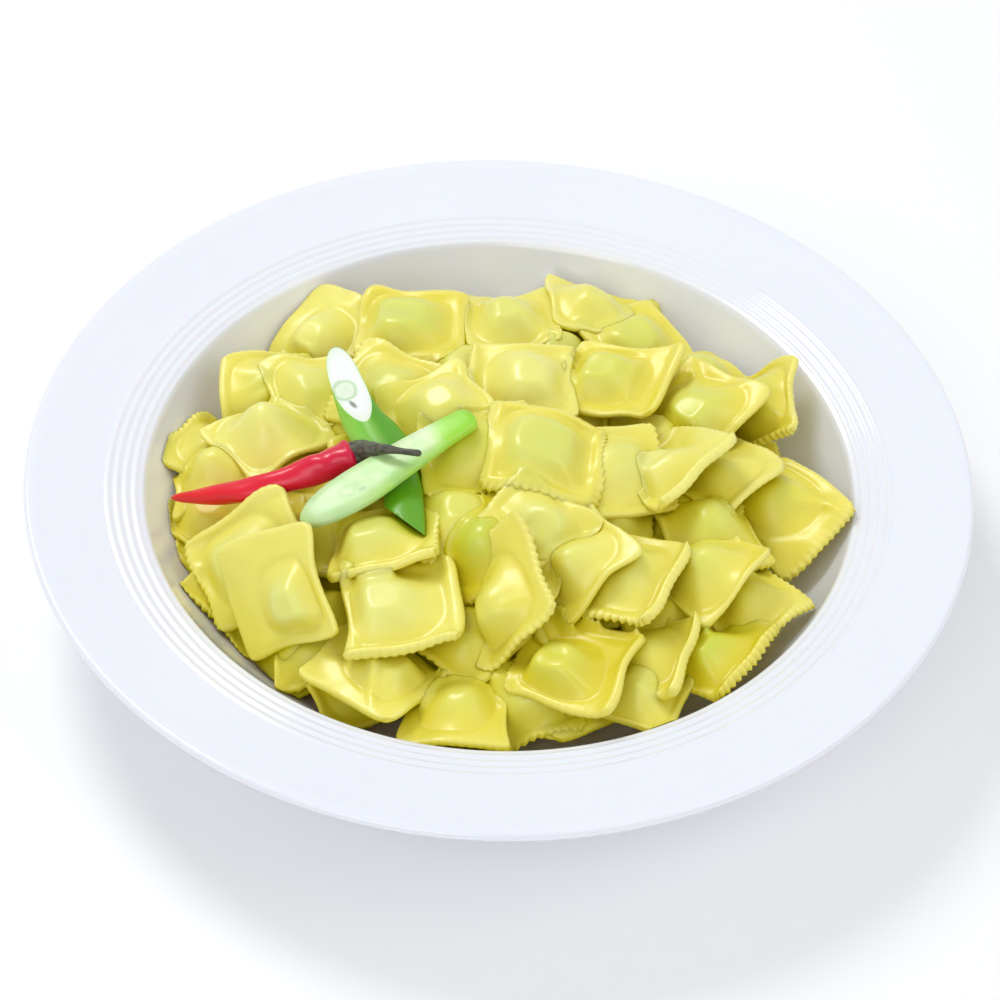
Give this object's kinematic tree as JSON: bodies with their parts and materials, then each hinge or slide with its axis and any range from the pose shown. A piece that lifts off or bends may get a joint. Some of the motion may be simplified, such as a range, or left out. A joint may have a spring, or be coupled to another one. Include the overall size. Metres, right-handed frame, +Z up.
{
  "type": "plate of ravioli",
  "caption": "Filled pasta squares heaped in a wide-rimmed round porcelain pasta plate, topped with a red chilli and diagonal cuts of spring onion.",
  "frame": {"origin": "centre of the plate's foot, on the surface that the plate stands on", "axes": "+Z up, -Y towards the front that the heap is seen from, +X to the right"},
  "size_m": [0.3, 0.3, 0.0649],
  "materials": {
    "porcelain": "white glaze, glossy",
    "pasta": null,
    "chilli": null,
    "chilli_stem": null,
    "onion_green": null,
    "onion_pale": null
  },
  "bodies": {
    "root": {"plate": "porcelain", "ravioli_heap": "pasta", "chilli_pod": "chilli", "chilli_stem": "chilli_stem", "spring_onion_length": "onion_green", "spring_onion_slice": "onion_pale"}
  },
  "joints": []
}
